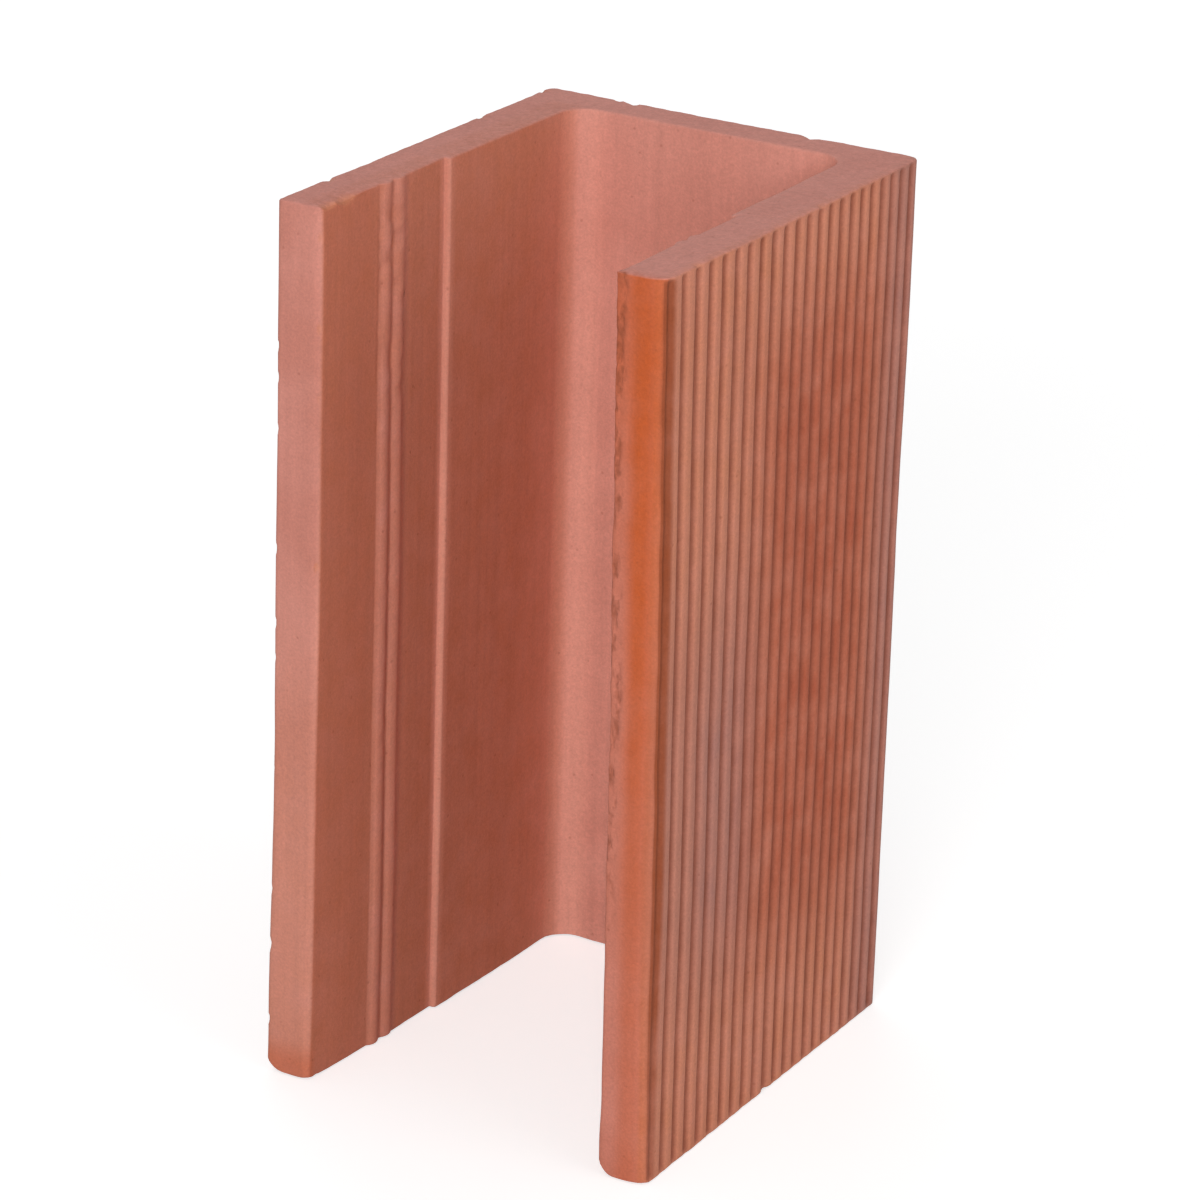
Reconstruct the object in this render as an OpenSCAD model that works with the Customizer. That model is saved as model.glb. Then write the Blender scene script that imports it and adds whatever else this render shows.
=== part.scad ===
// Fired clay channel block: a U-shaped extrusion with plaster grooves on its outer faces.
// It stands on a cut end. +X runs across the channel, -Y looks out of its open side,
// and +Z runs along the extrusion. The origin is the middle of the box's underside.

/* [Block] */
// Length along the extrusion, from cut end to cut end
block_length = 250; // [120:5:400]
// Width over the outer faces of the legs
block_width = 115; // [90:1:200]
// Depth from the leg tips to the back of the web
block_depth = 130; // [100:1:200]

/* [Walls] */
// Thickness of a leg between its tip and the shoulder
leg_thickness = 13.5; // [9:0.5:18]
// Thickness of the web that joins the legs
web_thickness = 12; // [8:0.5:20]
// Radius of the fillets inside the channel, between web and legs
fillet_radius = 8; // [2:0.5:14]
// Radius of the two outer corners of the web
corner_radius = 3; // [1:0.25:4]
// Radius along both edges of a leg tip
tip_radius = 1.2; // [0.4:0.1:2]

/* [Shoulder] */
// Distance of the shoulder from the leg tips
shoulder_offset = 56; // [48:1:75]
// Height of the step by which the leg thickens at the shoulder
shoulder_height = 1.8; // [1:0.2:4]
// Radius of the shoulder's edge
shoulder_radius = 0.8; // [0.3:0.1:0.9]

/* [Beads] */
// Number of beads side by side on the inside of a leg
bead_count = 2; // [1:1:3]
// Distance of the first bead's centre from the leg tips
bead_offset = 29; // [12:0.5:32]
// Width of one bead
bead_width = 5.4; // [3:0.2:6]
// Width of the flat between neighbouring beads
bead_gap = 0.6; // [0.4:0.2:3]
// Height of a bead above the inside of the leg
bead_height = 1.1; // [0.5:0.1:2.4]

/* [Plaster grooves] */
// Distance between groove centres at a leg's tip, from where they close up towards the web
tip_pitch = 6.5; // [4.5:0.1:8]
// Distance between groove centres at the web
web_pitch = 5.2; // [4.5:0.1:8]
// Width of a groove at the face
groove_width = 3.1; // [1.6:0.1:3.2]
// Depth of a groove
groove_depth = 1.1; // [0.6:0.1:1.6]
// Distance of the first groove's centre from a leg tip
groove_offset = 2.9; // [2.8:0.1:6]
// Distance of a corner's nearest groove centres from the back corner
corner_land = 4.9; // [4.5:0.1:8]

/* [Hidden] */
$fn = 64;

// Lap by which joined outlines run into each other and cutters run past a face
lap = 0.5;

half_width = block_width / 2;
half_depth = block_depth / 2;
tip_y = -half_depth;
web_inner_y = half_depth - web_thickness;
shoulder_y = tip_y + shoulder_offset;
leg_inner_x = half_width - leg_thickness;
shoulder_x = leg_inner_x - shoulder_height;

// Radius of the arc that spans a chord and rises by a height above it
function arc_radius(chord, rise) = (chord * chord / 4 + rise * rise) / (2 * rise);

groove_radius = arc_radius(groove_width, groove_depth);
bead_radius = arc_radius(bead_width, bead_height);

// Run of the grooves along a leg, and how many gaps it holds at the mean of the two pitches
leg_run = block_depth - groove_offset - corner_land;
leg_gaps = round(2 * leg_run / (tip_pitch + web_pitch));
// Place of groove i along a leg: the gaps shrink evenly from the tip's pitch to the web's
tip_share = 2 * tip_pitch / (tip_pitch + web_pitch);
function leg_groove_y(i) = let (u = i / leg_gaps) leg_run * (tip_share * u + (1 - tip_share) * u * u);

// Run of the grooves across half the web, and how many fit there on each side of a middle land
web_run = half_width - corner_land;
web_groove_pairs = round(web_run / web_pitch);
web_groove_step = web_run / (web_groove_pairs - 1 / 2);

// The corner left between two faces and the arc that rounds them, with its lap outside
module corner_piece(radius) {
    difference() {
        translate([-lap, -lap]) square(radius + lap);
        translate([radius, radius]) circle(radius);
    }
}

// The outline on the +X side together with its mirror image
module both_sides() {
    children();
    mirror([1, 0]) children();
}

// Rounded beads that stand proud of the leg's inner face, each an arc kept to just inside the leg
module beads() {
    for (i = [0 : bead_count - 1])
        translate([leg_inner_x, tip_y + bead_offset + i * (bead_width + bead_gap)])
            intersection() {
                translate([bead_radius - bead_height, 0]) circle(bead_radius);
                translate([-bead_height - lap, -bead_radius]) square([bead_height + 2 * lap, 2 * bead_radius]);
            }
}

// One leg: thin towards the tip, thicker from the shoulder back to the web
module leg_outline() {
    difference() {
        union() {
            translate([leg_inner_x, tip_y]) square([leg_thickness, block_depth]);
            translate([shoulder_x, shoulder_y])
                square([shoulder_height + lap, block_depth - shoulder_offset]);
            beads();
        }
        translate([leg_inner_x, tip_y]) corner_piece(tip_radius);
        translate([half_width, tip_y]) mirror([1, 0]) corner_piece(tip_radius);
        translate([shoulder_x, shoulder_y]) corner_piece(shoulder_radius);
    }
}

module web_outline() {
    translate([-half_width, web_inner_y]) square([block_width, web_thickness]);
}

module fillet_outline() {
    translate([shoulder_x, web_inner_y]) rotate(180) corner_piece(fillet_radius);
}

module leg_groove_cutters() {
    for (i = [0 : leg_gaps])
        translate([half_width + groove_radius - groove_depth, tip_y + groove_offset + leg_groove_y(i)])
            circle(groove_radius);
}

module web_groove_cutters() {
    for (i = [0 : web_groove_pairs - 1])
        translate([(i + 1 / 2) * web_groove_step, half_depth + groove_radius - groove_depth])
            circle(groove_radius);
}

// The die's outline: web, legs and fillets, less the rounded back corners and the grooves
module section_outline() {
    difference() {
        union() {
            web_outline();
            both_sides() leg_outline();
            both_sides() fillet_outline();
        }
        both_sides() translate([half_width, half_depth]) rotate(180) corner_piece(corner_radius);
        both_sides() leg_groove_cutters();
        both_sides() web_groove_cutters();
    }
}

module channel_block() {
    color("#B9705C") linear_extrude(height = block_length) section_outline();
}

channel_block();
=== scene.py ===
# %% [markdown]
# # A fired clay channel block
# The real block is one length of red clay. It was pushed through a U-shaped die, cut with a wire, dried
# and fired. What the eye reads on it comes from those four steps: one section all the way along, rough
# cut ends, legs that moved a little as they dried, and colours that the kiln left behind.
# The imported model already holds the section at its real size. Here it gets a finer skin and its finish.

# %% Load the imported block
import math
import random

import bpy
import numpy as np
from mathutils import Matrix, Vector, geometry, noise


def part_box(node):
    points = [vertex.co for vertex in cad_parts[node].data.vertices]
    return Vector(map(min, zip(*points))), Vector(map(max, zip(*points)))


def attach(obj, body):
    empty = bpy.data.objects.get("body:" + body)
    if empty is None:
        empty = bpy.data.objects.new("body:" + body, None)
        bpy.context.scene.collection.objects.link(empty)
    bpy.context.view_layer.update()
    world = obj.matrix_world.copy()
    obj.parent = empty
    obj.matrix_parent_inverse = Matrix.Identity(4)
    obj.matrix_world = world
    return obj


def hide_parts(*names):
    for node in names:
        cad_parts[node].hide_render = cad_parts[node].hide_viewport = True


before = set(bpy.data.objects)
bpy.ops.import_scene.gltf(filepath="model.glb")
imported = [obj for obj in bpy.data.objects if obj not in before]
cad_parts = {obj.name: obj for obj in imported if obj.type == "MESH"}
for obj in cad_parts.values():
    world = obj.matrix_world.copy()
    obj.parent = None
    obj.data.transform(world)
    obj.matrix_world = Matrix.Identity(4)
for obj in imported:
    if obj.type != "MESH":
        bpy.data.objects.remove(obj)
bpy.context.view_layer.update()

MM = 0.001
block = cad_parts["channel_block"]
node_low, node_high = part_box("channel_block")
HALF_WIDTH = node_high.x / MM
TIP_Y = node_low.y / MM
WEB_Y = node_high.y / MM
DEPTH = WEB_Y - TIP_Y
LENGTH = node_high.z / MM
print(f"block {2 * HALF_WIDTH:.1f} x {DEPTH:.1f} x {LENGTH:.1f} mm")

# %% [markdown]
# ## The outline that the die gave
# Every cut through the block shows the same outline, because the die shaped it. We could draw it again
# from sizes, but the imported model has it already: the triangles of the end that the block stands on
# form one flat sheet, and the edges that belong to only one of them run round its rim. Reading the rim
# keeps the skin true to the model, whatever its sizes are.

# %% Walk round the rim of the standing end
FLAT = 0.001
NEAR_TIP = 10.0


def die_outline(node_object):
    """Points of the section in mm, in order, anticlockwise seen from above."""
    mesh = node_object.data
    places = [tuple(round(value, 3) for value in vertex.co / MM) for vertex in mesh.vertices]
    edges = set()
    for face in mesh.polygons:
        ring = [places[index] for index in face.vertices]
        if max(abs(place[2]) for place in ring) < FLAT:
            edges.update(zip(ring, ring[1:] + ring[:1]))
    next_place = {b: a for a, b in edges if (b, a) not in edges}
    rim = [min(next_place)]
    while next_place[rim[-1]] != rim[0]:
        rim.append(next_place[rim[-1]])
    return [Vector(place[:2]) for place in rim]


rim = die_outline(block)
LEG_INSIDE = min(point.x for point in rim if point.x > 0 and point.y < TIP_Y + NEAR_TIP)
LEG_THICKNESS = HALF_WIDTH - LEG_INSIDE
print(len(rim), "points round the section, legs", round(LEG_THICKNESS, 2), "mm thick")

# %% [markdown]
# ## Soft edges and even columns
# Wet clay never leaves a die with a knife edge, so each sharp corner of the outline becomes a short
# curve. Then long straight stretches are split, because the skin needs points wherever it will swell,
# chip or wear. The leg tips get the finest spacing, because the photo shows torn clay there, and the
# two beads inside each leg are marked as well, because they are worn. A bevel modifier could round the
# corners but would not give us that say over where the points go.

# %% Soften the corners and split the long stretches
SHARP = math.radians(50)
ARC_STEP = 0.8
CORNER_REACH = 0.45
CORNER_SHARE = 0.4
TIP_ZONE = 4.5
TIP_ZONE_LAP = 0.5
TIP_STEP = 0.6
PLAIN_STEP = 2.4


def turn_at(before, here, after):
    return (here - before).angle(after - here)


def thin(points):
    """The outline with fewer points on its arcs, and every sharp corner kept."""
    kept = []
    for before, here, after in zip(points[-1:] + points[:-1], points, points[1:] + points[:1]):
        corner = turn_at(before, here, after) > SHARP
        if corner and kept and (here - kept[-1]).length < ARC_STEP / 2:
            kept.pop()
        if corner or not kept or (here - kept[-1]).length > ARC_STEP:
            kept.append(here)
    return kept


def soften(points):
    """Each sharp corner as three points of a short curve."""
    soft = []
    for before, here, after in zip(points[-1:] + points[:-1], points, points[1:] + points[:1]):
        into = here - before
        out = after - here
        if turn_at(before, here, after) < SHARP:
            soft.append(here)
            continue
        start = here - into.normalized() * min(CORNER_REACH, CORNER_SHARE * into.length)
        end = here + out.normalized() * min(CORNER_REACH, CORNER_SHARE * out.length)
        soft += [start, (start + 2 * here + end) / 4, end]
    return soft


def split_long(points):
    """The outline with no stretch longer than its zone allows."""
    fine = []
    for here, after in zip(points, points[1:] + points[:1]):
        near_tip = min(here.y, after.y) < TIP_Y + TIP_ZONE - TIP_ZONE_LAP
        longest = TIP_STEP if near_tip else PLAIN_STEP
        parts = math.ceil((after - here).length / longest)
        fine += [here.lerp(after, part / parts) for part in range(parts)]
    return fine


outline = np.array([tuple(point) for point in split_long(soften(thin(rim)))])
COLUMNS = len(outline)
print(COLUMNS, "columns")

# %% Mark the columns on the leg tips and on the beads
# Middle of the pair of beads, seen from the leg tips, and how far it reaches to both sides
BEAD_MIDDLE = 32.0
BEAD_REACH = 6.5
FACE_SLACK = 0.1

on_tip = outline[:, 1] < TIP_Y + TIP_ZONE
inside_legs = np.abs(outline[:, 0]) < LEG_INSIDE + FACE_SLACK
on_bead = inside_legs & (np.abs(outline[:, 1] - TIP_Y - BEAD_MIDDLE) < BEAD_REACH)
fine_column = on_tip | on_bead
print(int(on_tip.sum()), "columns on the leg tips and", int(on_bead.sum()), "on the beads")

# %% [markdown]
# ## Which way is out
# To press a chip or a swelling into the skin, each column needs its outward direction. The exact one
# flips back and forth across every groove, so points pushed along it would cross. A direction that is
# averaged over a few millimetres stays calm, and the grooves then move as one with their wall.

# %% Measure directions and lengths along the outline
CALM_REACH = 1.6

step_on = np.roll(outline, -1, 0) - outline
step_length = np.linalg.norm(step_on, axis=1)
along = np.concatenate([[0.0], np.cumsum(step_length)[:-1]])
GIRTH = step_length.sum()
tangent = step_on / step_length[:, None] + np.roll(step_on / step_length[:, None], 1, 0)
tangent /= np.linalg.norm(tangent, axis=1)[:, None]
outward = np.stack([tangent[:, 1], -tangent[:, 0]], 1)
apart = np.abs(along[:, None] - along[None, :])
apart = np.minimum(apart, GIRTH - apart)
share = np.exp(-(apart / CALM_REACH) ** 2) * (step_length + np.roll(step_length, 1))[None, :]
calm = share @ outward
calm /= np.linalg.norm(calm, axis=1)[:, None]
calm_tangent = np.stack([-calm[:, 1], calm[:, 0]], 1)
print(f"girth {GIRTH:.0f} mm")

# %% [markdown]
# ## Where the grooves are
# The outer faces are combed with grooves that help plaster to grip. The finish needs to know them,
# because it paints shade into them. A column's depth below the outer face says how far into a groove
# it lies, and the rounded corners are left out.

# %% Measure how deep in a groove each column lies
GROOVE_REACH = 1.3
CORNER_ZONE = 3.2
TIP_LAND = 1.3

side_depth = HALF_WIDTH - np.abs(outline[:, 0])
back_depth = WEB_Y - outline[:, 1]
past_tip = outline[:, 1] > TIP_Y + TIP_LAND
in_side = (side_depth < GROOVE_REACH) & (back_depth > CORNER_ZONE) & past_tip
in_back = (back_depth < GROOVE_REACH) & (side_depth > CORNER_ZONE)
groove_depth = np.where(in_side, side_depth, np.where(in_back, back_depth, 0.0))
in_groove = np.clip(groove_depth / groove_depth.max(), 0, 1)
print("deepest groove", round(groove_depth.max(), 2), "mm")

# %% [markdown]
# ## Levels from end to end
# Rows of points run round the block at levels that crowd together near the cut ends, where the edges
# are rounded and chipped, and open out in the middle, where little happens. The leg tips and the beads
# get extra levels in between. Where a fine column meets a plain one, a face with more than four
# corners joins them, which is simpler than a strip of triangles and shades just as well.

# %% Lay out the levels
FIRST_STEP = 0.2
STEP_GROWTH = 1.5
WIDEST_STEP = 4.2
FINE_STEP = 1.0

end_steps = [FIRST_STEP]
while end_steps[-1] * STEP_GROWTH < WIDEST_STEP:
    end_steps.append(end_steps[-1] * STEP_GROWTH)
middle = LENGTH - 2 * sum(end_steps)
middle_count = math.ceil(middle / WIDEST_STEP)
steps = end_steps + [middle / middle_count] * middle_count + end_steps[::-1]
levels = []
plain_levels = []
height = 0.0
for step in steps:
    plain_levels.append(len(levels))
    parts = math.ceil(step / FINE_STEP)
    levels += [height + step * part / parts for part in range(parts)]
    height += step
plain_levels.append(len(levels))
levels.append(LENGTH)
print(len(plain_levels), "plain levels,", len(levels), "fine ones")

# %% [markdown]
# ## Where the beads are worn
# The beads inside the legs are rubbed and wavy in their upper part. Random numbers could make them
# uneven, but neighbouring points would then jump about. Noise that is read at a point's own place gives
# neighbours like values, and the same block at every run, so all the uneven shapes here come from it.

# %% Read noise along the block
WORN_FROM = 60.0
WORN_FADE = 50.0
BEAD_PATCH_SIZE = 35.0
BEAD_PATCH_SEED = (0.0, 4.0)
BEAD_PATCH_MEAN = 0.4
BEAD_PATCH_CHANGE = 2.0


def clamp(value):
    return min(1.0, max(0.0, value))


def noise_along(seed, level_height, size):
    """Noise that changes only along the length. Each seed gives another run of it."""
    return noise.noise(Vector((*seed, level_height / size)))


def upper_part(level_height):
    """From 0 near the foot to 1 in the part of the block that was rubbed."""
    return clamp((level_height - WORN_FROM) / WORN_FADE)


def bead_patch(level_height):
    """How worn the beads are at this level, from 0 to 1."""
    patch = BEAD_PATCH_MEAN + BEAD_PATCH_CHANGE * noise_along(BEAD_PATCH_SEED, level_height, BEAD_PATCH_SIZE)
    return clamp(patch) * upper_part(level_height)


worn_levels = sum(bead_patch(height) > 0 for height in levels)
print("beads worn at", worn_levels, "of", len(levels), "levels")

# %% [markdown]
# ## Rounded rims
# The wire leaves no knife edge either. Near a cut end the skin is drawn in along a quarter circle, which
# rounds the rim. A bevel would give one radius all the way round. Here the radius changes along the
# rim, because the wire left some stretches crisper than others.

# %% Round the rims
RIM_RADIUS = 0.55
RIM_CHANGE = 0.3
RIM_SIZE = 7.0
RIM_TOP_SHIFT = 50.0


def rim_inset(column, level_height):
    """How far the rounded rim draws in at this level."""
    x, y = outline[column]
    top = level_height > LENGTH / 2
    from_end = LENGTH - level_height if top else level_height
    radius = RIM_RADIUS + RIM_CHANGE * noise.noise(Vector((x, y, RIM_TOP_SHIFT * top)) / RIM_SIZE)
    if from_end >= radius:
        return 0.0
    return radius - math.sqrt(radius ** 2 - (radius - from_end) ** 2)


foot_insets = [rim_inset(column, 0.0) for column in range(COLUMNS)]
print(f"rim of the standing end drawn in by {min(foot_insets):.2f} to {max(foot_insets):.2f} mm")

# %% [markdown]
# ## Relief of the drawn faces
# Clay that slides through a die keeps a slow swell, and its ribs wander a little from side to side. The
# wire also smears clay into the ends of the grooves, so they run out before they reach the edge. A
# displace modifier could swell the faces, but it would know nothing of grooves, beads and rims. So one
# function adds all of that up and gives the place of a point.

# %% Shape one point of the skin
SWELL_HEIGHT = 0.28
SWELL_SIZE = 60.0
RIPPLE_HEIGHT = 0.07
RIPPLE_SIZE = 13.0
WANDER = 0.3
WANDER_ACROSS = 9.0
WANDER_ALONG = 38.0
WANDER_SEED = 7.0
SMEAR_SHARE = 0.95
SMEAR_REACH = 1.4
BEAD_WEAR = 0.6
BEAD_WEAR_SIZE = 4.5
BEAD_WEAR_SLOPE = 2.4
BEAD_WOBBLE = 0.45
BEAD_WOBBLE_SIZE = 9.0
BEAD_WOBBLE_SEED = (3.0, 6.0)


def skin_point(column, level_height):
    """Place of a point of the drawn skin in mm, before wear and warp."""
    place = Vector((*outline[column], level_height))
    push = SWELL_HEIGHT * noise.noise(place / SWELL_SIZE)
    push += RIPPLE_HEIGHT * noise.noise(place / RIPPLE_SIZE)
    push -= rim_inset(column, level_height)
    from_end = min(level_height, LENGTH - level_height)
    push += SMEAR_SHARE * groove_depth[column] * math.exp(-(from_end / SMEAR_REACH) ** 2)
    wander = 0.0
    if in_side[column] or in_back[column]:
        spot = (along[column] / WANDER_ACROSS, level_height / WANDER_ALONG, WANDER_SEED)
        wander = WANDER * noise.noise(Vector(spot))
    if on_bead[column]:
        patch = bead_patch(level_height)
        push -= BEAD_WEAR * patch * clamp(BEAD_WEAR_SLOPE * noise.noise(place / BEAD_WEAR_SIZE))
        wander = BEAD_WOBBLE * patch * noise_along(BEAD_WOBBLE_SEED, level_height, BEAD_WOBBLE_SIZE)
    shift = calm[column] * push + calm_tangent[column] * wander
    return [place.x + shift[0], place.y + shift[1], level_height]


print("first point at", [round(value, 2) for value in skin_point(0, 0.0)])

# %% Lay the points column by column
vertex_of = {}
points = []
source_column = []
for column in range(COLUMNS):
    for level in range(len(levels)) if fine_column[column] else plain_levels:
        vertex_of[column, level] = len(points)
        points.append(skin_point(column, levels[level]))
        source_column.append(column)
print(len(points), "points on the drawn faces")

# %% [markdown]
# ## Faces between the columns
# Two neighbouring columns and two levels make a quad. On the leg tips and beads the quads follow the
# fine levels, and between a fine and a plain column one larger face takes in all the levels of the
# finer side.

# %% Join the columns
faces = []
for column in range(COLUMNS):
    beside = (column + 1) % COLUMNS
    for below, above in zip(plain_levels, plain_levels[1:]):
        if fine_column[column] and fine_column[beside]:
            for level in range(below, above):
                faces.append([vertex_of[column, level], vertex_of[beside, level],
                              vertex_of[beside, level + 1], vertex_of[column, level + 1]])
            continue
        up = range(below, above + 1) if fine_column[beside] else (below, above)
        down = range(above, below - 1, -1) if fine_column[column] else (above, below)
        corners = [vertex_of[beside, level] for level in up]
        corners += [vertex_of[column, level] for level in down]
        faces.append(corners)
print(len(faces), "faces on the drawn sides")

# %% [markdown]
# ## The two cut ends
# A taut wire sliced the column of clay, so the ends are flat but rough. One big face could close an
# end, but it could carry no relief. So loose points are scattered inside the rim and a Delaunay
# triangulation, which Blender's geometry module has, ties them to it. The scatter is seeded.

# %% Scatter places inside a ring
CUT_SPACING = 1.5
CUT_JITTER = 0.4
CUT_MARGIN = 0.8
scatter = random.Random(11)


def inside_points(ring):
    """Scattered places inside a ring, none too near to it."""
    row_gap = CUT_SPACING * math.sqrt(3) / 2
    spots = []
    for row in range(int(DEPTH / row_gap) + 1):
        for step in range(int(2 * HALF_WIDTH / CUT_SPACING) + 1):
            x = (step + 0.5 * (row % 2)) * CUT_SPACING - HALF_WIDTH
            y = row * row_gap + TIP_Y
            x += scatter.uniform(-CUT_JITTER, CUT_JITTER)
            y += scatter.uniform(-CUT_JITTER, CUT_JITTER)
            spots.append((x, y))
    spots = np.array(spots)
    after = np.roll(ring, -1, 0)
    inside = np.zeros(len(spots), bool)
    nearest = np.full(len(spots), np.inf)
    for (ax, ay), (bx, by) in zip(ring, after):
        crosses = (ay > spots[:, 1]) != (by > spots[:, 1])
        with np.errstate(divide="ignore", invalid="ignore"):
            inside ^= crosses & (spots[:, 0] < (bx - ax) * (spots[:, 1] - ay) / (by - ay) + ax)
        edge = np.array([bx - ax, by - ay])
        reach = np.clip(((spots - (ax, ay)) @ edge) / (edge @ edge), 0, 1)
        nearest = np.minimum(nearest, np.linalg.norm(spots - (ax, ay) - reach[:, None] * edge, axis=1))
    return spots[inside & (nearest > CUT_MARGIN)]


print("places about", CUT_SPACING, "mm apart, none within", CUT_MARGIN, "mm of the rim")

# %% Close both ends
SAME_PLACE = 1e-5
INSIDE_ONLY = 1

for level in (0, len(levels) - 1):
    ring_vertices = [vertex_of[column, level] for column in range(COLUMNS)]
    ring = np.array([points[vertex][:2] for vertex in ring_vertices])
    spots = inside_points(ring)
    flat = [Vector(spot) for spot in ring] + [Vector(spot) for spot in spots]
    border = [list(range(COLUMNS))]
    made = geometry.delaunay_2d_cdt(flat, [], border, INSIDE_ONLY, SAME_PLACE)
    triangles = made[2]
    origins = made[3]
    vertices = ring_vertices + list(range(len(points), len(points) + len(spots)))
    points += [[*spot, levels[level]] for spot in spots]
    source_column += [-1] * len(spots)
    for triangle in triangles:
        corners = [vertices[origins[corner][0]] for corner in triangle]
        faces.append(corners if level else corners[::-1])
    print("end at", levels[level], "mm:", len(spots), "scattered points,", len(triangles), "triangles")

# %% [markdown]
# ## Marks of handling
# All the wear that follows is done by moving points of the skin, and not with booleans, because that
# keeps one clean closed mesh. We first keep a copy of the places that the die and the wire gave, so that
# each kind of wear can ask where a point started, whatever the others did to it.

# %% Keep the drawn places
skin = np.array(points)
still = skin.copy()
column_of = np.array(source_column)
drawn = column_of >= 0
from_end = np.minimum(still[:, 2], LENGTH - still[:, 2])
print(int(drawn.sum()), "points drawn by the die,", int((~drawn).sum()), "cut by the wire")

# %% [markdown]
# ## The scraped leg tip
# The right leg tip was scraped from the outside in. That bevelled its outer corner and dragged a burr of
# clay over its inner edge. A sculpting brush could do it, but a formula can be read and changed: the
# drag is strongest at the tip and fades within a few millimetres of it.

# %% Scrape the right leg tip
DRAG = 1.1
DRAG_REACH = 5.0
DRAG_CHANGE = 0.3
DRAG_SIZE = 14.0
DRAG_SEED = (5.0, 2.0)
BEVEL = 1.5
FOOT_ZONE = 60.0
EDGE_SLACK = 0.6

on_right_tip = drawn & (still[:, 0] > LEG_INSIDE - EDGE_SLACK) & (still[:, 1] < TIP_Y + DRAG_REACH)
for index in np.flatnonzero(on_right_tip):
    x, y, z = still[index]
    across_share = (x - LEG_INSIDE) / LEG_THICKNESS
    at_tip = (1 - (y - TIP_Y) / DRAG_REACH) ** 2
    above_foot = 1 - max(0.0, 1 - z / FOOT_ZONE) * max(0.0, across_share)
    uneven = 1 + DRAG_CHANGE * noise_along(DRAG_SEED, z, DRAG_SIZE)
    skin[index, 0] -= DRAG * at_tip * above_foot * uneven
    skin[index, 1] += BEVEL * at_tip * max(0.0, 2 * across_share - 1) ** 2
print(int(on_right_tip.sum()), "points dragged by the scrape")

# %% [markdown]
# ## Torn pits
# Beside the burr the scrape tore small pits out of the clay, in the upper two thirds of the block. They
# lie in a strip of uneven width. The mesh takes only their soft hollows, and the material adds their
# crisp borders later, because modelling those would take far more points.

# %% Tear pits beside the burr
TORN_WIDTH = 4.6
TORN_WIDTH_MEAN = 0.8
TORN_WIDTH_CHANGE = 0.4
TORN_WIDTH_SIZE = 21.0
TORN_WIDTH_SEED = (3.0, 8.0)
TORN_MIDDLE = 0.4
TORN_FULL = 1.8
TORN_FACE = 1.5
PIT_DEPTH = 0.35
PIT_SIZE = np.array([1.5, 1.5, 3.8])
PIT_COARSE = 0.7
PIT_FINE = 0.5
PIT_FINER = 2.3
PIT_SLOPE = 3.0
PIT_BIAS = 0.3

torn = np.zeros(len(skin))
for index in np.flatnonzero(on_right_tip & (still[:, 1] <= TIP_Y + TORN_FACE)):
    x, _, z = still[index]
    uneven = TORN_WIDTH_MEAN + TORN_WIDTH_CHANGE * noise_along(TORN_WIDTH_SEED, z, TORN_WIDTH_SIZE)
    width = TORN_WIDTH * uneven
    off_middle = abs(x - LEG_INSIDE - TORN_MIDDLE * width) / ((1 - TORN_MIDDLE) * width)
    band = max(0.0, 1 - off_middle) * upper_part(z)
    spot = Vector(still[index] / PIT_SIZE)
    grain = PIT_COARSE * noise.noise(spot) + PIT_FINE * noise.noise(PIT_FINER * spot)
    torn[index] = min(1.0, TORN_FULL * band)
    skin[index, 1] += PIT_DEPTH * torn[index] * clamp(PIT_SLOPE * grain + PIT_BIAS)
print(int((torn > 0.5).sum()), "points in the torn strip")

# %% [markdown]
# ## Chips
# Knocks took flakes off the edges. A flake breaks away along a shallow hollow, so each chip is a ball
# that pushes the points inside it out to its own surface. A boolean would cut the same hollow but leave
# thin, ragged faces round it. Most chips fall where a seeded draw puts them, and the two larger ones on
# the left leg's upper inner edge are placed as in the photo.

# %% Knock a chip off an edge
CHIP_EDGE = 0.35
LEAST_DISTANCE = 0.01
chipping = random.Random(23)
chipped = np.zeros(len(skin))


def knock(corner, direction, radius, depth):
    """One chip: a ball that reaches a depth past a corner, seen from outside along direction."""
    centre = np.array(corner) + np.array(direction) * (radius - depth)
    away = skin - centre
    distance = np.linalg.norm(away, axis=1)
    hit = distance < radius
    skin[hit] = centre + away[hit] * (radius / np.maximum(distance[hit], LEAST_DISTANCE))[:, None]
    chipped[hit] = np.maximum(chipped[hit], np.clip((radius - distance[hit]) / CHIP_EDGE, 0, 1))


def knock_rim(column, top, radius, depth):
    """A chip on the edge of a cut end."""
    direction = np.array([*calm[column], 1.0 if top else -1.0]) / math.sqrt(2)
    knock([*outline[column], LENGTH if top else 0.0], direction, radius, depth)


def knock_tip(x, level_height, radius, depth):
    """A chip on a long edge of a leg tip."""
    column = int(np.argmin(np.hypot(outline[:, 0] - x, outline[:, 1] - TIP_Y)))
    knock([*outline[column], level_height], [*calm[column], 0.0], radius, depth)


print("chips fade out over", CHIP_EDGE, "mm")

# %% Chip the rims, the tips and the left leg's upper edge
RIM_CHIPS = 40
RIM_CHIP_RADII = (1.6, 4.2)
RIM_CHIP_DEPTHS = (0.15, 0.5)
UPPER_SHARE = 0.6
TIP_CHIPS = 20
TIP_CHIP_RADII = (1.8, 5.0)
TIP_CHIP_DEPTHS = (0.15, 0.4)
TIP_CHIP_MARGIN = 6.0
CHIPPED_EDGES = [-HALF_WIDTH, -HALF_WIDTH, HALF_WIDTH, -LEG_INSIDE]
# Distance from the tip, radius and depth of each larger chip
LARGE_CHIPS = ((4.0, 8.0, 1.2), (11.0, 9.0, 1.5))

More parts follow.
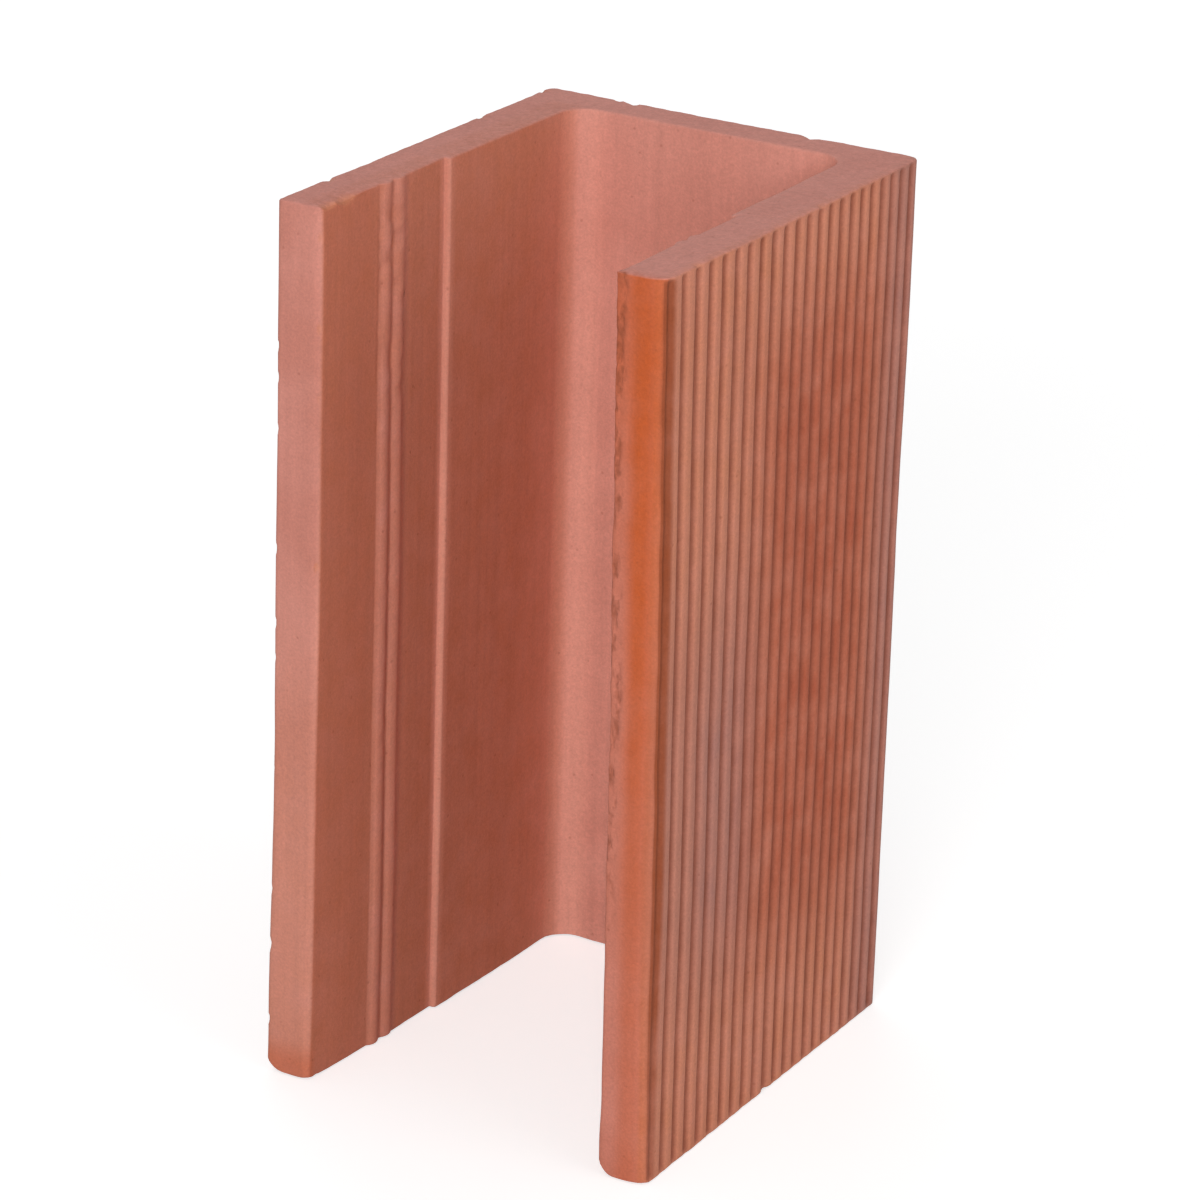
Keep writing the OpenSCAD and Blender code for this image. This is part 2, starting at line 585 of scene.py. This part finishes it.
for _ in range(RIM_CHIPS):
    column = int(np.searchsorted(along, chipping.uniform(0, GIRTH)) - 1)
    top = chipping.random() < UPPER_SHARE
    radius = chipping.uniform(*RIM_CHIP_RADII)
    knock_rim(column, top, radius, chipping.uniform(*RIM_CHIP_DEPTHS))
for _ in range(TIP_CHIPS):
    edge = chipping.choice(CHIPPED_EDGES)
    level_height = chipping.uniform(TIP_CHIP_MARGIN, LENGTH - TIP_CHIP_MARGIN)
    radius = chipping.uniform(*TIP_CHIP_RADII)
    knock_tip(edge, level_height, radius, chipping.uniform(*TIP_CHIP_DEPTHS))
for from_corner, radius, depth in LARGE_CHIPS:
    gaps = np.hypot(outline[:, 0] + LEG_INSIDE, outline[:, 1] - TIP_Y - from_corner)
    knock_rim(int(np.argmin(gaps)), True, radius, depth)
print(int((chipped > 0.3).sum()), "points chipped")

# %% [markdown]
# ## Rough ends
# The wire wandered a little and pulled grains of clay along, so a cut end is wavy and torn. Two noises
# lower its points: a slow one for the wave and a fine one for the tears. The tears fade about a
# millimetre from the end, and the wave takes the nearest few millimetres of the sides along, so that
# nothing folds over.

# %% Roughen the cut ends
CUT_WAVE = 0.45
CUT_WAVE_SIZE = 26.0
CUT_WAVE_SHIFT = 90.0
CUT_WAVE_FADE = 7.0
CUT_TEAR = 0.22
CUT_TEAR_SIZE = 3.2
CUT_TEAR_SHIFT = 40.0
CUT_TEAR_FADE = 1.2

wave_share = np.clip(1 - from_end / CUT_WAVE_FADE, 0, 1) ** 2
tear_share = np.clip(1 - from_end / CUT_TEAR_FADE, 0, 1)
for index in np.flatnonzero(from_end < CUT_WAVE_FADE):
    x, y, z = still[index]
    top = z > LENGTH / 2
    wave = 0.5 + 0.5 * noise.noise(Vector((x, y, CUT_WAVE_SHIFT * top)) / CUT_WAVE_SIZE)
    tear = 0.5 + 0.5 * noise.noise(Vector((x, y, CUT_TEAR_SHIFT * top)) / CUT_TEAR_SIZE)
    drop = CUT_WAVE * wave * wave_share[index] + CUT_TEAR * tear * tear_share[index]
    skin[index, 2] += -drop if top else drop
print("cut ends between", round(skin[:, 2].min(), 2), "and", round(skin[:, 2].max(), 2), "mm")

# %% [markdown]
# ## Worn corners and a rubbed edge
# The lowest corners of the leg tips were dragged round when the block was set down wet, and the left
# tip's inner edge was rubbed soft. Both fade with the distance from the corner or the edge, so one line
# of numpy for all points does what many strokes of a smoothing brush would.

# %% Wear the lower corners of the leg tips
WEAR_FADE = 13.0
# Place across the block, lift and reach of each worn corner
WORN_CORNERS = (
    (-HALF_WIDTH, 3.6, 6.7),
    (-LEG_INSIDE, 0.8, 5.0),
    (LEG_INSIDE, 5.0, 5.5),
    (HALF_WIDTH, 0.9, 5.0),
)

wear_fade = np.clip(1 - still[:, 2] / WEAR_FADE, 0, 1) ** 2
for corner_x, lift, wear_reach in WORN_CORNERS:
    gap = np.hypot(still[:, 0] - corner_x, still[:, 1] - TIP_Y)
    skin[:, 2] += lift * np.clip(1 - gap / wear_reach, 0, 1) ** 3 * wear_fade
print(len(WORN_CORNERS), "corners worn, lowest point now at", round(skin[:, 2].min(), 2), "mm")

# %% Rub the inner edge of the left leg tip
RUB_DEPTH = 0.32
RUB_REACH = 2.4

edge_gap = np.hypot(still[:, 0] + LEG_INSIDE, still[:, 1] - TIP_Y)
rub = RUB_DEPTH * np.clip(1 - edge_gap / RUB_REACH, 0, 1) ** 2
skin[:, 0] -= rub
skin[:, 1] += rub
print("inner edge rubbed by up to", round(rub.max(), 2), "mm")

# %% [markdown]
# ## The warp of drying
# Wet legs lean as they shrink. Seen along the channel, the left leg of this block opens outwards at
# its foot by about 5 mm, while the right one leans in by about 2 mm at its top. A leg is held at the
# web and free at its tip, so it bends like a cantilever: the shift grows with the square of the
# distance from the web. The model keeps the straight shape that the die gave.

# %% Bend the legs
LEFT_SPREAD_TOP = 1.7
LEFT_SPREAD_FOOT = 5.2
LEFT_SPREAD_BOW = -0.65
RIGHT_SPREAD_TOP = -2.25
RIGHT_SPREAD_FOOT = 0.15
RIGHT_SPREAD_BOW = 0.7
BEND_SHARE = 0.7


def spread(height_share, top, foot, bow):
    """Outward shift of a leg tip in mm at a share of the length."""
    return top * height_share + foot * (1 - height_share) + bow * 4 * height_share * (1 - height_share)


reach = np.clip((WEB_Y - still[:, 1]) / DEPTH, 0, 1) ** 2
height_share = still[:, 2] / LENGTH
on_left = np.clip(-still[:, 0] / (BEND_SHARE * HALF_WIDTH), 0, 1)
on_right = np.clip(still[:, 0] / (BEND_SHARE * HALF_WIDTH), 0, 1)
left_shift = spread(height_share, LEFT_SPREAD_TOP, LEFT_SPREAD_FOOT, LEFT_SPREAD_BOW)
right_shift = spread(height_share, RIGHT_SPREAD_TOP, RIGHT_SPREAD_FOOT, RIGHT_SPREAD_BOW)
skin[:, 0] += reach * (on_right * right_shift - on_left * left_shift)
print(f"widest between {skin[:, 0].min():.1f} and {skin[:, 0].max():.1f} mm")

# %% [markdown]
# ## What the kiln did where
# The flame licked the right leg tip and turned it orange. The middle of the right face burned to a
# deeper red, and mauve salts bloomed towards its edges. Each such zone is a number from 0 to 1 at every
# point, kept with the mesh as an attribute. All distances below are in millimetres on the clay, and a
# soft step blends from one to the next. The material then breaks the edge of a zone up with noise. Zones
# on the mesh stay on the clay in every view, which a projection from the camera would not.

# %% Measure where each point lies
from_tip = still[:, 1] - TIP_Y
from_back = WEB_Y - still[:, 1]
from_left = still[:, 0] + HALF_WIDTH
from_middle = np.abs(still[:, 0])
from_floor = still[:, 2]


def ease(values, start, end):
    """Smooth step from 0 at start to 1 at end."""
    share = np.clip((values - start) / (end - start), 0, 1)
    return share * share * (3 - 2 * share)


def between(values, start, full, fading, end):
    """Smooth hill: 0 at start, 1 from full to fading, 0 again at end."""
    return ease(values, start, full) * ease(values, end, fading)


print("points reach", round(from_tip.max(), 1), "mm back from the tips")

# %% [markdown]
# ## Faces as soft masks
# The zones lie on certain faces of the block, such as the grooved right face or the left leg's inside.
# Vertex groups painted by hand could mark them. Soft steps in the distances from the block's own faces
# do it without a brush, and can be read and changed line by line.

# %% Tell the faces apart
# Each pair is where a step starts and ends, and each four are the start, full, fading and end of a hill
RIGHT_SIDE = (LEG_INSIDE - 1.0, LEG_INSIDE)
RIGHT_FACE = (HALF_WIDTH - 3.0, HALF_WIDTH - 1.6)
CHANNEL_ACROSS = (LEG_INSIDE + 1.0, LEG_INSIDE - 1.0)
BEADS_ACROSS = (LEG_INSIDE + 0.6, LEG_INSIDE - 0.2)
TIP_FADE = (4.0, 0.5)
LEFT_HALF = (0.0, -20.0)
LEFT_WALL = (6.0, 9.0, 15.7, 18.5)
LEFT_EDGE = (0.4, 1.6)
WALL_END = (9.0, 13.0)
FILLET_START = (36.0, 16.0)
# Painted light: the left leg's inside is less red and brown near the fillet
FILLET_PAINTED_LIGHT = 0.4
FILLET_ACROSS = (31.0, 35.0)
# Painted highlight: less red and brown on the shoulder's step edge, which faces the key lamp
SHOULDER_PAINTED_HIGHLIGHT = 0.6
SHOULDER_EDGE = (54.8, 55.4, 56.6, 57.4)
WEB_FACE = (6.0, 9.0)
BEADS = (25.0, 27.0, 38.0, 40.0)
RIM_BAND = (0.3, 1.4)

right_side = ease(still[:, 0], *RIGHT_SIDE)
right_face = ease(still[:, 0], *RIGHT_FACE)
left_tip = ease(still[:, 0], *LEFT_HALF) * ease(from_tip, *TIP_FADE)
left_inside = between(from_left, *LEFT_WALL) * ease(from_tip, *LEFT_EDGE) * ease(from_back, *WALL_END)
# Painted light near the fillet and a painted highlight on the shoulder's step edge
left_inside *= 1 - FILLET_PAINTED_LIGHT * ease(from_back, *FILLET_START)
left_inside *= 1 - SHOULDER_PAINTED_HIGHLIGHT * between(from_tip, *SHOULDER_EDGE)
in_channel = ease(from_middle, *CHANNEL_ACROSS) * ease(from_back, *WEB_FACE)
fillet = ease(from_middle, *FILLET_ACROSS)
bead_strip = ease(from_middle, *BEADS_ACROSS) * between(from_tip, *BEADS)
off_rim = ease(from_end, *RIM_BAND)
print("faces: right side, right face, left tip, left inside, channel, fillet and beads")

# %% [markdown]
# ## Orange from the flame
# The right leg tip is the most orange place. The colour is strongest past the tip's middle and in its
# upper part, and only a trace of it shows at the foot of the left tip. An image could hold this, but a
# few distances say it more plainly and stay sharp at any resolution.

# %% Spread the flame's orange over the leg tips
FLASH_DEPTH = (5.0, 0.5)
FLASH_ACROSS = (3.0, 7.8, 9.0, 14.5)
FLASH_EDGE = 0.5
FLASH_EDGE_GAIN = 0.28
FLASH_EDGE_RISE = (165.0, 235.0)
FLASH_FOOT = 0.66
FLASH_RISE = (40.0, 190.0)
ORANGE_FOOT = (13.0, 4.0)
BROWN_FOOT = (170.0, 60.0)

flash = right_side * ease(from_tip, *FLASH_DEPTH)
flash_edge = FLASH_EDGE + FLASH_EDGE_GAIN * ease(from_floor, *FLASH_EDGE_RISE)
flash *= flash_edge + (1 - flash_edge) * between(still[:, 0] - LEG_INSIDE, *FLASH_ACROSS)
flash *= FLASH_FOOT + (1 - FLASH_FOOT) * ease(from_floor, *FLASH_RISE)
orange_foot = left_tip * ease(from_floor, *ORANGE_FOOT)
brown_tip = left_tip * ease(from_floor, *BROWN_FOOT)
print("flame reaches", int((flash > 0.3).sum()), "points")

# %% [markdown]
# ## Red middle and mauve edges
# The middle of the right face is a deep red, and greyish mauve salts lie in front of it and behind it.
# Each is a soft hill or step across the face, and the red and the front salts are soft hills along the
# length as well. The material will make their borders patchy, so such plain shapes are enough here.

# %% Place the red patch and the salts
RED_ACROSS = (32.0, 70.0, 100.0, 124.0)
RED_UP = (20.0, 70.0, 200.0, 246.0)
MAUVE_LEAST = 0.6
MAUVE_RISE = (14.0, 30.0)
MAUVE_FADE = (64.0, 40.0)
MAUVE_UP = (20.0, 80.0, 110.0, 190.0)
MAUVE_BACK = (104.0, 122.0)

red_patch = between(from_tip, *RED_ACROSS) * between(from_floor, *RED_UP)
mauve_front = MAUVE_LEAST + (1 - MAUVE_LEAST) * ease(from_tip, *MAUVE_RISE)
mauve_front *= ease(from_tip, *MAUVE_FADE) * between(from_floor, *MAUVE_UP)
mauve_back = ease(from_tip, *MAUVE_BACK)
print("red patch covers", int((red_patch * right_face > 0.5).sum()), "points")

# %% [markdown]
# ## Channel and grooves
# Inside the channel the left leg is redder, and the web and the fillets are lightened with painted light.
# The grooves are darkened with painted shade, and the one beside the orange tip with a darker painted
# shade in the flame's orange-brown. The depth that we measured for each column gives the painted shade, so
# it stays inside the grooves.

# %% Paint light into the channel and shade into the grooves
INNER_RED = 0.4
INNER_RED_TIP = 0.2
INNER_RED_FADE = (27.0, 20.0)
# The web and the fillets get painted light, weaker towards the top
PAINTED_LIGHT_WEB = 0.6
PAINTED_LIGHT_TOP_LOSS = 0.5
PAINTED_LIGHT_TOP = (120.0, 250.0)
# Painted shade in the grooves
GROOVE_FULL = 1.7
# Where the rounded corner and first groove beside the orange tip get a darker painted shade
FIRST_GROOVE = (0.1, 0.7, 4.2, 5.0)
FIRST_GROOVE_RISE = (10.0, 60.0)

inner_red = left_inside * (INNER_RED + INNER_RED_TIP * ease(from_tip, *INNER_RED_FADE))
# Painted light that lightens the web and the fillets inside the channel
painted_light_inside = in_channel * (PAINTED_LIGHT_WEB + (1 - PAINTED_LIGHT_WEB) * fillet)
painted_light_inside *= 1 - PAINTED_LIGHT_TOP_LOSS * ease(from_floor, *PAINTED_LIGHT_TOP)
# Painted shade on the rounded corner and first groove beside the orange tip, in the flame's brown
first_groove_painted_shade = right_face * between(from_tip, *FIRST_GROOVE)
# Painted shade, darkest in the deep part of each groove
painted_groove_shade = np.where(drawn, np.clip(GROOVE_FULL * in_groove[column_of], 0, 1), 0.0)
print("grooves shade", int((painted_groove_shade > 0.5).sum()), "points")

# %% [markdown]
# ## One mesh with its zones
# Now the pieces come together: points, faces and one attribute for each zone. A block fired in one piece
# is one mesh, with no seams between its walls and its ends. Smooth shading suits clay, because every
# edge that shows has been rounded with points of its own.

# %% Mark the zones
CUT_EDGE = 0.5
FOOT_SHARE = 0.5

zones = {
    "kiln_flash": flash + FOOT_SHARE * orange_foot,
    "deep_red": right_face * red_patch,
    "inner_red": inner_red,
    "salt_bloom": right_face * np.maximum(mauve_front, mauve_back),
    # Painted light on the web and the fillets
    "painted_light_inside": drawn * painted_light_inside,
    "warm_brown": np.maximum(np.maximum(right_face, left_inside), FOOT_SHARE * brown_tip),
    # Painted shade in the grooves
    "in_groove": np.maximum(painted_groove_shade, first_groove_painted_shade) * off_rim,
    # Darker painted shade beside the orange tip, in the flame's brown
    "first_groove_painted_shade": first_groove_painted_shade * ease(from_floor, *FIRST_GROOVE_RISE) * off_rim,
    "torn": torn,
    "scuffed": drawn * bead_strip,
    "chipped": chipped,
    "cut_end": np.where(drawn, np.clip(1 - from_end / CUT_EDGE, 0, 1), 1.0),
}
print("zones:", ", ".join(zones))

# %% Build the mesh
mesh = bpy.data.meshes.new("channel_block_skin")
mesh.from_pydata([Vector(point) * MM for point in skin], [], faces)
for name, values in zones.items():
    layer = mesh.attributes.new(name, "FLOAT", "POINT")
    layer.data.foreach_set("value", np.clip(values, 0, 1).astype(np.float32))
mesh.shade_smooth()
clay_block = bpy.data.objects.new("clay_channel_block", mesh)
bpy.context.scene.collection.objects.link(clay_block)
triangle_count = sum(len(face.vertices) - 2 for face in mesh.polygons)
print(len(mesh.vertices), "points,", triangle_count, "triangles")

# %% [markdown]
# ## Unglazed terracotta
# The material is terracotta: iron-bearing clay, extruded and fired without a glaze. Its surface is a
# dry, fine grit, so it scatters light in all directions and has next to no gloss: an index of
# refraction of about 1.5 under a roughness near 0.9. Colour varies at several scales: slow kiln clouds
# of some 50 mm, smudges of about 10 mm, streaks a few millimetres wide that the die drew along the
# length, and grit under a millimetre. All patterns are read in object space, so they are cut into the
# clay like the real ones.

# %% Helpers for colours, pattern sizes and nodes


def srgb(code):
    """Linear colour of an sRGB hex value."""
    values = [int(code[start:start + 2], 16) / 255 for start in (1, 3, 5)]
    return [v / 12.92 if v <= 0.04045 else ((v + 0.055) / 1.055) ** 2.4 for v in values] + [1.0]


def per_size(millimetres):
    """Noise scale that gives features of a real size."""
    return 1 / (millimetres * MM)


clay = bpy.data.materials.new("unglazed_terracotta")
clay.use_nodes = True
tree = clay.node_tree


def add(kind, inputs, **settings):
    """Adds a node, sets its properties, and sets or links its inputs by name or number."""
    made = tree.nodes.new(kind)
    for name, value in settings.items():
        setattr(made, name, value)
    for socket, value in inputs.items():
        if isinstance(value, bpy.types.NodeSocket):
            tree.links.new(value, made.inputs[socket])
        else:
            made.inputs[socket].default_value = value
    return made


def add_zone(name):
    """The number that the mesh keeps for a zone."""
    return add("ShaderNodeAttribute", {}, attribute_name=name).outputs["Fac"]


place = add("ShaderNodeTexCoord", {}).outputs["Object"]
print("noise scale of a 3 mm pattern:", round(per_size(3.0), 1))

# %% Patterns from clouds to grit
STREAK_STRETCH = (1, 1, 0.025)
TEAR_STRETCH = (1, 1, 0.5)

streak_place = add("ShaderNodeVectorMath", {0: place, 1: STREAK_STRETCH}, operation="MULTIPLY").outputs[0]
tear_place = add("ShaderNodeVectorMath", {0: place, 1: TEAR_STRETCH}, operation="MULTIPLY").outputs[0]
clouds = add("ShaderNodeTexNoise", {"Vector": place, "Scale": per_size(48), "Detail": 3.0,
                                    "Roughness": 0.55, "Distortion": 0.6}).outputs["Fac"]
smudges = add("ShaderNodeTexNoise", {"Vector": place, "Scale": per_size(11), "Detail": 4.0,
                                     "Roughness": 0.6}).outputs["Fac"]
streaks = add("ShaderNodeTexNoise", {"Vector": streak_place, "Scale": per_size(2.6), "Detail": 3.0,
                                     "Roughness": 0.6}).outputs["Fac"]
grit = add("ShaderNodeTexNoise", {"Vector": place, "Scale": per_size(0.7), "Detail": 2.0,
                                  "Roughness": 0.7}).outputs["Fac"]
crumbs = add("ShaderNodeTexNoise", {"Vector": place, "Scale": per_size(1.8), "Detail": 3.0,
                                    "Roughness": 0.65}).outputs["Fac"]
tears = add("ShaderNodeTexNoise", {"Vector": tear_place, "Scale": per_size(2.2), "Detail": 2.0,
                                   "Roughness": 0.55}).outputs["Fac"]
pores = add("ShaderNodeTexVoronoi", {"Vector": place, "Scale": per_size(5.5), "Randomness": 1.0})
print("patterns: clouds, smudges, streaks, grit, crumbs, tears and pores")

# %% [markdown]
# ## Colours of the fired clay
# We start from the body colour and lay each zone over it. A zone's number is multiplied by a pattern
# that runs from a least to a most, so that its border wanders. The torn strip's least is below zero,
# which leaves it only where its pattern is strong, as separate pits. Mix nodes in multiply mode then add
# the streaks and the grit, which only make the colour a little lighter or darker.

# %% Name the colours
CLAY_DARK = srgb("#C47C6C")
CLAY_LIGHT = srgb("#D48E80")
FLAME_ORANGE = srgb("#BC5218")
# Pale tint for the painted light on the web and the fillets
PAINTED_LIGHT_PALE = srgb("#E8A390")
WARM_BROWN = srgb("#C97E5E")
DEEP_RED = srgb("#AC5236")
SALT_MAUVE = srgb("#AA756B")
CUT_PINK = srgb("#D68F82")
GROOVE_PAINTED_SHADE = srgb("#8C4833")
# Brown for the painted shade in the grooves
TORN_BROWN = srgb("#8A4326")
FRESH_CLAY = srgb("#CE8460")
# Flame-brown colour for the painted shade beside the orange tip
FLAME_BROWN_PAINTED_SHADE = srgb("#8E421C")
print("body colour", [round(value, 3) for value in CLAY_DARK[:3]], "in linear light")

# %% Lay the zones over the body colour
NOISE_LOW = 0.3
NOISE_HIGH = 0.7
BODY_STOPS = ((0.32, CLAY_DARK), (0.68, CLAY_LIGHT))

body = add("ShaderNodeValToRGB", {"Fac": clouds})
for stop, (position, tint) in zip(body.color_ramp.elements, BODY_STOPS):
    stop.position = position
    stop.color = tint
colour = body.outputs["Color"]
amounts = {}
for name, tint, least, most, patchy in (
    # Painted light on the web and the fillets
    ("painted_light_inside", PAINTED_LIGHT_PALE, 0.7, 1.0, clouds),
    ("warm_brown", WARM_BROWN, 0.6, 0.95, smudges),
    ("salt_bloom", SALT_MAUVE, 0.5, 0.9, smudges),
    ("deep_red", DEEP_RED, 0.5, 0.95, smudges),
    ("inner_red", DEEP_RED, 0.65, 0.8, clouds),
    ("kiln_flash", FLAME_ORANGE, 0.88, 1.0, smudges),
    ("cut_end", CUT_PINK, 0.5, 0.85, crumbs),
    # Painted shade in the grooves
    ("in_groove", GROOVE_PAINTED_SHADE, 0.55, 0.8, smudges),
    # Painted shade beside the orange tip, in the flame's brown
    ("first_groove_painted_shade", FLAME_BROWN_PAINTED_SHADE, 0.6, 0.9, smudges),
    ("scuffed", CLAY_LIGHT, 0.0, 0.6, smudges),
    ("chipped", FRESH_CLAY, 0.3, 0.6, crumbs),
    ("torn", TORN_BROWN, -0.5, 0.65, tears),
):
    border = add("ShaderNodeMapRange", {"Value": patchy, "From Min": NOISE_LOW, "From Max": NOISE_HIGH,
                                        "To Min": least, "To Max": most}).outputs["Result"]
    amounts[name] = add("ShaderNodeMath", {0: add_zone(name), 1: border}, operation="MULTIPLY",
                        use_clamp=True).outputs[0]
    colour = add("ShaderNodeMix", {0: amounts[name], 6: colour, 7: tint}, data_type="RGBA").outputs[2]
print(len(amounts), "zones laid over the body colour")

# %% Streaks, grit and pores in the colour
PORE_HEART = 0.03
PORE_EDGE = 0.1
PORE_STRENGTH = 0.3

for pattern, darkest, lightest in ((streaks, 0.95, 1.04), (grit, 0.92, 1.08), (crumbs, 0.96, 1.04)):
    shade = add("ShaderNodeMapRange", {"Value": pattern, "From Min": NOISE_LOW, "From Max": NOISE_HIGH,
                                       "To Min": darkest, "To Max": lightest}).outputs["Result"]
    colour = add("ShaderNodeMix", {0: 1.0, 6: colour, 7: shade}, data_type="RGBA",
                 blend_type="MULTIPLY").outputs[2]
pore_mask = add("ShaderNodeMapRange", {"Value": pores.outputs["Distance"],
                                       "From Min": PORE_HEART, "From Max": PORE_EDGE,
                                       "To Min": PORE_STRENGTH, "To Max": 0.0}).outputs["Result"]
colour = add("ShaderNodeMix", {0: pore_mask, 6: colour, 7: TORN_BROWN}, data_type="RGBA").outputs[2]
print("streaks, grit and pores laid")

# %% [markdown]
# ## Relief finer than the mesh
# Grit, pores and die streaks are too fine for the mesh, so they are bump. Heights are real ones turned
# into metres, which keeps them honest: grit stands up about 0.06 mm, a streak 0.03 mm, and the crumbs of
# a cut end up to 0.3 mm, while the torn pits get crisp borders. The grit is drawn at 0.7 mm, coarser than
# the real 0.2 mm, so that it shows in the render.

# %% Stack up the bump heights
CRUMB_LEAST = 0.05
CRUMB_MOST = 0.3

cut_zone = add_zone("cut_end")
crumb_height = add("ShaderNodeMapRange", {"Value": cut_zone, "To Min": CRUMB_LEAST * MM,
                                          "To Max": CRUMB_MOST * MM}).outputs["Result"]
heights = add("ShaderNodeMath", {0: crumbs, 1: crumb_height}, operation="MULTIPLY").outputs[0]
for pattern, height in ((grit, 0.06), (streaks, 0.03), (pore_mask, -0.25), (amounts["torn"], -0.5)):
    heights = add("ShaderNodeMath", {0: pattern, 1: height * MM, 2: heights},
                  operation="MULTIPLY_ADD").outputs[0]
bump = add("ShaderNodeBump", {"Height": heights, "Distance": 1.0, "Strength": 1.0})
print("bump from crumbs, grit, streaks, pores and torn pits")

# %% Connect the shader
TERRACOTTA_IOR = 1.5
SMOOTHEST = 0.82
ROUGHEST = 0.97

shader = tree.nodes["Principled BSDF"]
shader.inputs["IOR"].default_value = TERRACOTTA_IOR
roughness = add("ShaderNodeMapRange", {"Value": smudges, "To Min": SMOOTHEST,
                                       "To Max": ROUGHEST}).outputs["Result"]
sources = {"Base Color": colour, "Roughness": roughness, "Normal": bump.outputs["Normal"]}
for socket, source in sources.items():
    tree.links.new(source, shader.inputs[socket])
mesh.materials.append(clay)
print("terracotta has", len(tree.nodes), "nodes")

# %% [markdown]
# ## Tying the skin to the model
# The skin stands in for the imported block, which stays in the simulation as its body.

# %% Ride on the body
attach(clay_block, "root")
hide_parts("channel_block")
print("skin rides on root")

# %% [markdown]
# ## Floor
# The block stands on a plain white floor. To the camera the floor gets a little light of its own, so
# that it reads as white while it still shows the block's shadow. Brighter lamps would whiten it too, but
# they would bleach the clay.

# %% Lay the floor
FLOOR_SIZE = 8.0
FLOOR_GLOW = 0.6
PAPER_WHITE = srgb("#D0D0D0")
PAPER_ROUGHNESS = 0.9

half = FLOOR_SIZE / 2
floor_corners = [(-half, -half, 0), (half, -half, 0), (half, half, 0), (-half, half, 0)]
floor_mesh = bpy.data.meshes.new("floor")
floor_mesh.from_pydata(floor_corners, [], [(0, 1, 2, 3)])
floor = bpy.data.objects.new("floor", floor_mesh)
bpy.context.scene.collection.objects.link(floor)
paper = bpy.data.materials.new("white_paper")
paper.use_nodes = True
tree = paper.node_tree
paper_shader = tree.nodes["Principled BSDF"]
paper_shader.inputs["Base Color"].default_value = PAPER_WHITE
paper_shader.inputs["Roughness"].default_value = PAPER_ROUGHNESS
seen = add("ShaderNodeLightPath", {}).outputs["Is Camera Ray"]
glow = add("ShaderNodeMath", {0: seen, 1: FLOOR_GLOW}, operation="MULTIPLY").outputs[0]
paper_shader.inputs["Emission Color"].default_value = (1, 1, 1, 1)
tree.links.new(glow, paper_shader.inputs["Emission Strength"])
floor_mesh.materials.append(paper)
print("floor", FLOOR_SIZE, "m")

# %% [markdown]
# ## Even light
# A studio's pale walls send light from all sides. A world colour does that at no cost. The camera and
# mirrored rays see it as white, and everything else gets only a share of it.

# %% Surround the block with even light
AMBIENT = 0.37

world = bpy.data.worlds.new("studio")
world.use_nodes = True
tree = world.node_tree
background = tree.nodes["Background"]
rays = add("ShaderNodeLightPath", {})
clear = rays.outputs["Is Camera Ray"]
for kind in ("Is Glossy Ray", "Is Transmission Ray"):
    clear = add("ShaderNodeMath", {0: clear, 1: rays.outputs[kind]}, operation="MAXIMUM").outputs[0]
strength = add("ShaderNodeMapRange", {"Value": clear, "To Min": AMBIENT, "To Max": 1.0}).outputs["Result"]
background.inputs["Color"].default_value = (1, 1, 1, 1)
tree.links.new(strength, background.inputs["Strength"])
bpy.context.scene.world = world
print("even light", AMBIENT, "of full white")

# %% [markdown]
# ## Lamps
# Three large soft lamps stand in for a studio: the key in front, a weaker one on the right for the
# grooved face, and one behind that lifts the cut end and the back. Small lamps would draw hard shadows
# into the channel. A lamp's power follows from its distance, so that a white card that faces it would
# get the stated share of full white.

# %% Hang the three lamps
AIM = Vector((0, 0, LENGTH / 2 * MM))
for name, direction, distance, size, white_share in (
    ("key", (0.34, -0.89, 0.36), 1.7, 0.7, 0.54),
    ("fill", (0.95, -0.1, 0.3), 1.7, 1.2, 0.2),
    ("back", (-0.6, 0.65, 0.45), 1.7, 1.2, 0.17),
):
    lamp = bpy.data.lights.new(name, "AREA")
    lamp.size = size
    lamp.energy = (math.pi * distance) ** 2 * white_share
    stand = bpy.data.objects.new(name, lamp)
    stand.location = AIM + Vector(direction).normalized() * distance
    stand.rotation_euler = (AIM - stand.location).to_track_quat("-Z", "Y").to_euler()
    bpy.context.scene.collection.objects.link(stand)
    print(name, "lamp", round(lamp.energy, 1), "W")

# %% [markdown]
# ## Camera
# The camera looks at the block from the front right and from above, through a long lens. Its place and
# turn were found by matching the block's corners in the photo, so they are written as an azimuth, an
# elevation, a small roll and a position.

# %% Set the camera
LENS = 142.35
SENSOR_WIDTH = 36.0
AZIMUTH = math.radians(30.48)
ELEVATION = math.radians(21.98)
ROLL = math.radians(1.60)
CAMERA_PLACE = Vector((600.3, -1018.1, 608.8)) * MM

level_back = Vector((math.sin(AZIMUTH), -math.cos(AZIMUTH), 0))
level_right = Vector((math.cos(AZIMUTH), math.sin(AZIMUTH), 0))
back = math.cos(ELEVATION) * level_back + math.sin(ELEVATION) * Vector((0, 0, 1))
level_up = back.cross(level_right)
camera_right = math.cos(ROLL) * level_right + math.sin(ROLL) * level_up
camera_up = math.cos(ROLL) * level_up - math.sin(ROLL) * level_right
turn = Matrix((camera_right, camera_up, back)).transposed()
camera_data = bpy.data.cameras.new("camera")
camera_data.lens = LENS
camera_data.sensor_width = SENSOR_WIDTH
camera = bpy.data.objects.new("camera", camera_data)
camera.matrix_world = Matrix.Translation(CAMERA_PLACE) @ turn.to_4x4()
bpy.context.scene.collection.objects.link(camera)
bpy.context.scene.camera = camera
bpy.context.scene.view_settings.view_transform = "Standard"
print("camera at", [round(value, 3) for value in camera.location])
